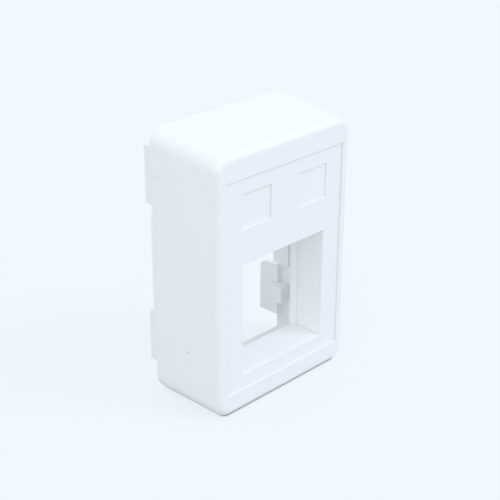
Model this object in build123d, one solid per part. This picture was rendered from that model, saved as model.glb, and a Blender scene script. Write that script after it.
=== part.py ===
from build123d import *
from math import radians, tan
import os

# Housing of a two-port surface mount jack box, moulded in one piece and standing on its short end.
# Millimetres: x across the face, y from the front face to the open back, z up.

# Outer shell
shell_height = 70.25
shell_width = 46.65
shell_depth = 22.25
corner_radius = 4.0
front_radius = 1.7
side_draft = 1.0
top_slope = 6.0
side_wall = 2.0
end_wall = 1.3
front_wall = 2.0
inner_corner_radius = 0.4

# Sunk field of the front face and its two label recesses
panel_width = 40.75
panel_height = 55.5
panel_bottom = 5.9
panel_recess = 0.43
label_width = 10.1
label_height = 8.65
label_pitch = 19.65
label_bottom = 48.75
label_recess = 0.43
edge_radius = 0.2

# Opening for the jack module, its collar and the stop ribs at the collar's back
opening_width = 28.65
opening_height = 29.8
opening_bottom = 9.75
collar_depth = 10.1
collar_wall = 1.6
stop_step = 1.45
stop_thickness = 1.3

# Lands that thicken the side walls between the tabs and stand behind the rim
land_height = 27.0
land_thickness = 3.4
land_length = 5.4
land_rise = 0.45

# Latch tabs: an upright plate inside the wall, carried by a short neck
tab_pitch = 43.4
tab_height = 14.7
tab_thickness = 0.9
tab_reach = 5.15
tab_overlap = 1.2
tab_gap = 0.6
tab_corner_radius = 2.0
neck_height = 5.0
neck_length = 4.55
neck_thickness = 3.0

# Ramped pry notch in the outside of the wall at each neck
notch_height = 4.6
notch_length = 6.1
notch_depth = 1.05

# Places worked out from the sizes above
middle = shell_height / 2
outer_half = shell_width / 2
inner_half = outer_half - side_wall
land_back = shell_depth + land_rise
total_depth = shell_depth + tab_reach
tab_outer = inner_half - tab_gap
tab_inner = tab_outer - tab_thickness


def upright(x_size, z_size, z_bottom, x_middle=0.0):
    """A rectangle in the plane of the face, by its lower edge and its middle."""
    return Pos(x_middle, z_bottom + z_size / 2) * Rectangle(x_size, z_size)


def slab(sketch, y_front, y_back):
    """The solid of an upright sketch between two depths."""
    return extrude(Plane.XZ.offset(-y_back) * sketch, amount=y_back - y_front)


def block(x_inner, x_outer, y_front, y_back, z_bottom, z_top):
    """A rectangular solid between two x, two y and two z values."""
    sketch = upright(x_outer - x_inner, z_top - z_bottom, z_bottom, (x_inner + x_outer) / 2)
    return slab(sketch, y_front, y_back)


def on_side(solid, side):
    """A solid modelled on the right wall, or its mirror image on the left (-1)."""
    return solid if side > 0 else mirror(solid, Plane.YZ)


def drafted(side_inset, end_inset, radius, y_front):
    """A block with drafted sides, a top that falls to the front and a level underside."""
    x_size = shell_width - 2 * side_inset
    y_size = shell_depth - y_front
    z_size = shell_height - 2 * end_inset
    narrowing = y_size * tan(radians(side_draft))
    top_fall = y_size * tan(radians(top_slope))
    wedge = Wedge(
        x_size,
        y_size,
        z_size,
        narrowing,
        0,
        x_size - narrowing,
        z_size - top_fall,
        align=(Align.CENTER, Align.MIN, Align.MIN),
    )
    solid = Pos(0, shell_depth, end_inset) * mirror(wedge, Plane.XZ)
    depth_edges = solid.edges().filter_by(lambda edge: abs(edge.tangent_at(0.5).Y) > 0.5)
    return fillet(depth_edges, radius)


def make_shell():
    """The open-backed case with its rounded front edge."""
    body = drafted(0, 0, corner_radius, 0)
    front_face = body.faces().sort_by(Axis.Y)[0]
    body = fillet(front_face.outer_wire().edges(), front_radius)
    return body - drafted(side_wall, end_wall, inner_corner_radius, front_wall)


def make_land(side):
    """The pad inside a side wall between its tabs, which stands behind the rim."""
    x_inner = outer_half - land_thickness
    z_edges = (middle - land_height / 2, middle + land_height / 2)
    land = block(x_inner, inner_half, land_back - land_length, shell_depth, *z_edges)
    land += block(x_inner, outer_half, shell_depth, land_back, *z_edges)
    return on_side(land, side)


def make_collar():
    """The walls that run back from the opening, with a stop rib on each side."""
    outer = upright(
        opening_width + 2 * collar_wall,
        opening_height + 2 * collar_wall,
        opening_bottom - collar_wall,
    )
    clear_width = opening_width - 2 * stop_step
    stop_front = collar_depth - stop_thickness
    collar = slab(outer, front_wall, collar_depth)
    collar -= slab(upright(opening_width, opening_height, opening_bottom), front_wall, stop_front)
    collar -= slab(upright(clear_width, opening_height, opening_bottom), stop_front, collar_depth)
    return collar


def make_tab(side, z_middle, rounded):
    """One latch tab with its neck, with or without a rounded upper rear corner."""
    y_start = shell_depth - tab_overlap
    outline = Pos((y_start + total_depth) / 2, z_middle) * Rectangle(total_depth - y_start, tab_height)
    if rounded:
        corner = outline.vertices().group_by(Axis.Y)[-1].sort_by(Axis.X)[-1]
        outline = fillet(corner, tab_corner_radius)
    plate = extrude(Plane.YZ.offset(tab_inner) * outline, amount=tab_thickness)
    neck = block(
        tab_outer - neck_thickness,
        inner_half,
        shell_depth - neck_length,
        shell_depth,
        z_middle - neck_height / 2,
        z_middle + neck_height / 2,
    )
    return on_side(plate + neck, side)


def make_notch(side, z_middle):
    """The wedge that is cut from the outside of the wall, deepest at the rim."""
    x_clear = outer_half + notch_depth
    wedge = make_face(
        Polyline(
            (outer_half, shell_depth - notch_length),
            (x_clear, shell_depth - notch_length),
            (x_clear, shell_depth),
            (outer_half - notch_depth, shell_depth),
            close=True,
        )
    )
    cut = extrude(Plane.XY.offset(z_middle - notch_height / 2) * wedge, amount=notch_height)
    return on_side(cut, side)


def soften(solid, sketch, y_face):
    """Round the edges where a recess or an opening breaks a face."""
    middles = [edge.center() for edge in (Plane.XZ.offset(-y_face) * sketch).edges()]
    mouth = solid.edges().filter_by(
        lambda edge: min((edge.center() - middle_point).length for middle_point in middles) < 0.01
    )
    return fillet(mouth, edge_radius)


def make_housing():
    """The whole moulding, with the front face at y = 0."""
    housing = make_shell() + make_collar()
    panel = upright(panel_width, panel_height, panel_bottom)
    opening = upright(opening_width, opening_height, opening_bottom)
    housing -= slab(panel, 0.0, panel_recess)
    housing -= slab(opening, 0.0, front_wall)
    housing = soften(housing, panel, 0.0)
    housing = soften(housing, opening, panel_recess)
    for x_middle in (-label_pitch / 2, label_pitch / 2):
        label = upright(label_width, label_height, label_bottom, x_middle)
        housing -= slab(label, 0.0, panel_recess + label_recess)
        housing = soften(housing, label, panel_recess)
    for side in (-1, 1):
        housing += make_land(side)
        for level in (-1, 1):
            z_middle = middle + level * tab_pitch / 2
            housing += make_tab(side, z_middle, rounded=level < 0)
            housing -= make_notch(side, z_middle)
    return housing


# The origin is under the middle of the whole depth, tabs included
housing = Pos(0, -total_depth / 2, 0) * make_housing()
housing.label = "housing"
os.makedirs("parts", exist_ok=True)
export_step(housing, "parts/housing.step")
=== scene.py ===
import math

import bpy
from mathutils import Matrix, Vector


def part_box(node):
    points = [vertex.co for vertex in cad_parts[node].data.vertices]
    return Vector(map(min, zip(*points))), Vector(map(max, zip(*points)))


# The housing of a surface mount jack box: its solid in white plastic, standing on a pale floor in soft light
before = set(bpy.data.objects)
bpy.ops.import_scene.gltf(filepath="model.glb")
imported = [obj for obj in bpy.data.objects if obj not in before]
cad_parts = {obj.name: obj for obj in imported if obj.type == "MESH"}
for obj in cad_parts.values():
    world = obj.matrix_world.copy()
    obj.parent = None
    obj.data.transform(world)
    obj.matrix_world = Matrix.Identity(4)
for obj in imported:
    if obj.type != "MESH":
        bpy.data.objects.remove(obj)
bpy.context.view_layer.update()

MM = 0.001

# Camera: angles, distance and lens that match the photograph, and its aim on the plane of the front face
CAMERA_AZIMUTH = math.radians(45.755)
CAMERA_ELEVATION = math.radians(24.763)
CAMERA_ROLL = math.radians(0.251)
CAMERA_DISTANCE = 274.6 * MM
AIM_ACROSS = -12.502 * MM
AIM_HEIGHT = 43.017 * MM
SENSOR_WIDTH = 36.0
LENS = 84.053
CLIP_START = 10.0 * MM

# Light: a pale tent, a soft key from the front right above and a broad fill from the left
TENT_COLOUR = (0.90, 0.965, 1.0, 1.0)
TENT_SIDES = 1.25
TENT_TOP = 0.78
KEY_COLOUR = (0.66, 0.73, 1.0)
KEY_STRENGTH = 0.72
KEY_ANGLE = math.radians(25.0)
KEY_FROM = Vector((0.40, -0.62, 0.68))
FILL_COLOUR = (0.95, 0.98, 1.0)
FILL_STRENGTH = 0.45
FILL_ANGLE = math.radians(70.0)
FILL_FROM = Vector((-0.80, -0.50, 0.33))
LIGHT_BOUNCES = 24

# Backdrop: the floor and what lies beyond it show one pale tone, and the floor throws less light back up
BACKDROP_COLOUR = (0.888, 0.947, 1.0, 1.0)
FLOOR_SEEN = (0.86, 0.875, 0.92, 1.0)
FLOOR_BOUNCE = (0.50, 0.505, 0.51, 1.0)
FLOOR_GLOW = 0.75
# Reach of the painted contact shadow on the floor
CONTACT_SHADOW_REACH = 0.45 * MM
FLOOR_RADIUS = 6.0
FLOOR_SIDES = 96

# White plastic: a slight mottle, a fine grain and a long shallow wave
PLASTIC_LIGHT = (0.92, 0.928, 0.93, 1.0)
PLASTIC_DARK = (0.905, 0.913, 0.915, 1.0)
PLASTIC_IOR = 1.53
MOTTLE_PER_METRE = 60.0
MOTTLE_DETAIL = 3.0
GRAIN_PER_METRE = 4200.0
GRAIN_DETAIL = 2.0
GRAIN_HEIGHT = 0.006 * MM
WAVE_PER_METRE = 55.0
WAVE_DETAIL = 1.0
WAVE_HEIGHT = 0.02 * MM
ROUGHNESS_LOW = 0.36
ROUGHNESS_HIGH = 0.46

# The part of a noise pattern's values that is stretched over a whole range
NOISE_LOW = 0.3
NOISE_HIGH = 0.7

# Painted shade: a darker colour mixed in at inner corners and recess edges, by occlusion within a short
# reach
CREASE_SHADE_COLOUR = (0.73, 0.725, 0.715, 1.0)
CREASE_SHADE_REACH = 0.4 * MM

# Specks of dirt on the left wall: place, half sizes and strength
SPECK_COLOUR = (0.55, 0.56, 0.56, 1.0)
SPECKS = (
    (Vector((-23.1, -3.17, 15.42)) * MM, Vector((0.6, 0.3, 0.48)) * MM, 0.8),
    (Vector((-23.0, -10.01, 60.38)) * MM, Vector((0.6, 0.5, 0.5)) * MM, 0.2),
)

# Where a speck starts to fade and where it ends, in half sizes
SPECK_CORE = 0.4
SPECK_END = 1.2


def new_material(name):
    """An empty node material, with its node tree."""
    material = bpy.data.materials.new(name)
    material.use_nodes = True
    material.node_tree.nodes.clear()
    return material, material.node_tree


def add_node(tree, kind, **settings):
    """A shader node with some of its properties set."""
    node = tree.nodes.new(kind)
    for name, value in settings.items():
        setattr(node, name, value)
    return node


def noise(tree, coordinates, scale, detail):
    """A noise pattern in the part's own coordinates."""
    node = add_node(tree, "ShaderNodeTexNoise")
    node.inputs["Scale"].default_value = scale
    node.inputs["Detail"].default_value = detail
    tree.links.new(coordinates, node.inputs["Vector"])
    return node.outputs["Fac"]


def map_range(tree, value, start, end, **settings):
    """A value carried from one range, a pair of numbers, to another."""
    node = add_node(tree, "ShaderNodeMapRange", **settings)
    node.inputs["From Min"].default_value = start[0]
    node.inputs["From Max"].default_value = start[1]
    node.inputs["To Min"].default_value = end[0]
    node.inputs["To Max"].default_value = end[1]
    tree.links.new(value, node.inputs["Value"])
    return node.outputs["Result"]


def spread(tree, value, low, high):
    """A noise value stretched over a range."""
    return map_range(tree, value, (NOISE_LOW, NOISE_HIGH), (low, high))


def mix_colour(tree, factor, first, second):
    """Two colours mixed by a factor; the first may come from another node."""
    node = add_node(tree, "ShaderNodeMix", data_type="RGBA")
    sockets = {socket.identifier: socket for socket in node.inputs}
    if isinstance(first, bpy.types.NodeSocket):
        tree.links.new(first, sockets["A_Color"])
    else:
        sockets["A_Color"].default_value = first
    sockets["B_Color"].default_value = second
    tree.links.new(factor, sockets["Factor_Float"])
    return next(socket for socket in node.outputs if socket.identifier == "Result_Color")


def mix_shader(tree, factor, first, second):
    """Two shaders mixed by a factor."""
    node = add_node(tree, "ShaderNodeMixShader")
    tree.links.new(factor, node.inputs["Fac"])
    tree.links.new(first, node.inputs[1])
    tree.links.new(second, node.inputs[2])
    return node.outputs["Shader"]


def speck(tree, place, centre, half_sizes, strength):
    """A small soft-edged spot: its strength at a place on the part, and zero outside it."""
    offset = add_node(tree, "ShaderNodeMapping", vector_type="TEXTURE")
    offset.inputs["Location"].default_value = centre
    offset.inputs["Scale"].default_value = half_sizes
    tree.links.new(place, offset.inputs["Vector"])
    distance = add_node(tree, "ShaderNodeVectorMath", operation="LENGTH")
    tree.links.new(offset.outputs["Vector"], distance.inputs[0])
    fade = (SPECK_CORE, SPECK_END)
    return map_range(tree, distance.outputs["Value"], fade, (strength, 0.0), interpolation_type="SMOOTHSTEP")


def bump(tree, height, distance, normal=None):
    """A bump of a given depth, on top of an earlier one."""
    node = add_node(tree, "ShaderNodeBump")
    node.inputs["Distance"].default_value = distance
    tree.links.new(height, node.inputs["Height"])
    if normal is not None:
        tree.links.new(normal, node.inputs["Normal"])
    return node.outputs["Normal"]


def painted_crease_shade(tree):
    """Where shade is painted: one in a deep inner corner, and zero on open faces."""
    node = add_node(tree, "ShaderNodeAmbientOcclusion", only_local=True)
    node.inputs["Distance"].default_value = CREASE_SHADE_REACH
    covered = add_node(tree, "ShaderNodeMath", operation="SUBTRACT")
    covered.inputs[0].default_value = 1.0
    tree.links.new(node.outputs["AO"], covered.inputs[1])
    return covered.outputs["Value"]


def make_plastic():
    """Satin white moulded plastic with a fine grain."""
    material, tree = new_material("white_plastic")
    shader = add_node(tree, "ShaderNodeBsdfPrincipled")
    output = add_node(tree, "ShaderNodeOutputMaterial")
    tree.links.new(shader.outputs["BSDF"], output.inputs["Surface"])
    place = add_node(tree, "ShaderNodeTexCoord").outputs["Object"]

    mottle = spread(tree, noise(tree, place, MOTTLE_PER_METRE, MOTTLE_DETAIL), 0.0, 1.0)
    grain = noise(tree, place, GRAIN_PER_METRE, GRAIN_DETAIL)
    wave = noise(tree, place, WAVE_PER_METRE, WAVE_DETAIL)

    colour = mix_colour(tree, mottle, PLASTIC_DARK, PLASTIC_LIGHT)
    # Painted shade: the colour darkens in inner corners and along recess edges
    colour = mix_colour(tree, painted_crease_shade(tree), colour, CREASE_SHADE_COLOUR)
    for centre, half_sizes, strength in SPECKS:
        colour = mix_colour(tree, speck(tree, place, centre, half_sizes, strength), colour, SPECK_COLOUR)
    tree.links.new(colour, shader.inputs["Base Color"])
    tree.links.new(spread(tree, grain, ROUGHNESS_LOW, ROUGHNESS_HIGH), shader.inputs["Roughness"])
    normal = bump(tree, wave, WAVE_HEIGHT)
    normal = bump(tree, grain, GRAIN_HEIGHT, normal)
    tree.links.new(normal, shader.inputs["Normal"])
    shader.inputs["IOR"].default_value = PLASTIC_IOR
    return material


def seen_directly(tree):
    """One where a ray comes from the camera, or from it by gloss or glass, and zero elsewhere."""
    path = add_node(tree, "ShaderNodeLightPath")
    seen = path.outputs["Is Camera Ray"]
    for ray in ("Is Glossy Ray", "Is Transmission Ray"):
        either = add_node(tree, "ShaderNodeMath", operation="MAXIMUM")
        tree.links.new(seen, either.inputs[0])
        tree.links.new(path.outputs[ray], either.inputs[1])
        seen = either.outputs["Value"]
    return seen


def make_floor():
    """A wide plain floor in the backdrop's tone, with light shadows and a painted dark shadow line where the
    part stands on it.
    """
    material, tree = new_material("pale_floor")
    seen = seen_directly(tree)
    lit = add_node(tree, "ShaderNodeBsdfDiffuse")
    tree.links.new(mix_colour(tree, seen, FLOOR_BOUNCE, FLOOR_SEEN), lit.inputs["Color"])
    # Painted shadow: the floor's seen tone is darkened by occlusion, a dark line where the part stands on it
    painted_contact_shadow = add_node(tree, "ShaderNodeAmbientOcclusion")
    painted_contact_shadow.inputs["Color"].default_value = BACKDROP_COLOUR
    painted_contact_shadow.inputs["Distance"].default_value = CONTACT_SHADOW_REACH
    glow = add_node(tree, "ShaderNodeEmission")
    tree.links.new(painted_contact_shadow.outputs["Color"], glow.inputs["Color"])
    share = add_node(tree, "ShaderNodeMath", operation="MULTIPLY")
    share.inputs[1].default_value = FLOOR_GLOW
    tree.links.new(seen, share.inputs[0])
    surface = mix_shader(tree, share.outputs["Value"], lit.outputs["BSDF"], glow.outputs["Emission"])
    output = add_node(tree, "ShaderNodeOutputMaterial")
    tree.links.new(surface, output.inputs["Surface"])

    bpy.ops.mesh.primitive_circle_add(vertices=FLOOR_SIDES, radius=FLOOR_RADIUS, fill_type="NGON")
    floor = bpy.context.object
    floor.name = "floor"
    floor.data.materials.append(material)


def make_tent():
    """The world: a light that fades from the horizon to the top, seen directly as the backdrop."""
    world = bpy.data.worlds.new("tent")
    bpy.context.scene.world = world
    world.use_nodes = True
    tree = world.node_tree
    tree.nodes.clear()
    direction = add_node(tree, "ShaderNodeSeparateXYZ")
    tree.links.new(add_node(tree, "ShaderNodeTexCoord").outputs["Generated"], direction.inputs["Vector"])
    level = map_range(tree, direction.outputs["Z"], (0.0, 1.0), (TENT_SIDES, TENT_TOP))
    light = add_node(tree, "ShaderNodeBackground")
    light.inputs["Color"].default_value = TENT_COLOUR
    tree.links.new(level, light.inputs["Strength"])
    backdrop = add_node(tree, "ShaderNodeBackground")
    backdrop.inputs["Color"].default_value = BACKDROP_COLOUR
    surface = mix_shader(
        tree, seen_directly(tree), light.outputs["Background"], backdrop.outputs["Background"]
    )
    output = add_node(tree, "ShaderNodeOutputWorld")
    tree.links.new(surface, output.inputs["Surface"])


def add_sun(name, source, colour, strength, angle):
    """A broad soft light that comes from a direction."""
    lamp = bpy.data.lights.new(name, "SUN")
    lamp.color = colour
    lamp.energy = strength
    lamp.angle = angle
    sun = bpy.data.objects.new(name, lamp)
    sun.rotation_mode = "QUATERNION"
    sun.rotation_quaternion = source.to_track_quat("Z", "Y")
    bpy.context.scene.collection.objects.link(sun)


def make_camera(front_y):
    """The photograph's camera, aimed at a point of the front face."""
    level = Vector((math.cos(CAMERA_AZIMUTH), -math.sin(CAMERA_AZIMUTH), 0.0))
    ahead = Vector((math.sin(CAMERA_AZIMUTH), math.cos(CAMERA_AZIMUTH), 0.0))
    down = Vector((0.0, 0.0, -1.0))
    look = math.cos(CAMERA_ELEVATION) * ahead + math.sin(CAMERA_ELEVATION) * down
    upward = level.cross(look)
    right = math.cos(CAMERA_ROLL) * level + math.sin(CAMERA_ROLL) * upward
    up = math.cos(CAMERA_ROLL) * upward - math.sin(CAMERA_ROLL) * level
    data = bpy.data.cameras.new("camera")
    data.sensor_width = SENSOR_WIDTH
    data.lens = LENS
    data.clip_start = CLIP_START
    camera = bpy.data.objects.new("camera", data)
    place = Matrix((right, up, -look)).transposed().to_4x4()
    place.translation = Vector((AIM_ACROSS, front_y, AIM_HEIGHT)) - CAMERA_DISTANCE * look
    camera.matrix_world = place
    bpy.context.scene.collection.objects.link(camera)
    bpy.context.scene.camera = camera


# The part keeps its solid and gets its finish
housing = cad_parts["housing"]
housing.data.materials.clear()
housing.data.materials.append(make_plastic())

# The studio round it
make_floor()
make_tent()
add_sun("key", KEY_FROM, KEY_COLOUR, KEY_STRENGTH, KEY_ANGLE)
add_sun("fill", FILL_FROM, FILL_COLOUR, FILL_STRENGTH, FILL_ANGLE)
make_camera(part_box("housing")[0].y)

scene = bpy.context.scene
scene.view_settings.view_transform = "Standard"

# Light reaches the corners of the white inside by many bounces
scene.cycles.max_bounces = LIGHT_BOUNCES
scene.cycles.diffuse_bounces = LIGHT_BOUNCES
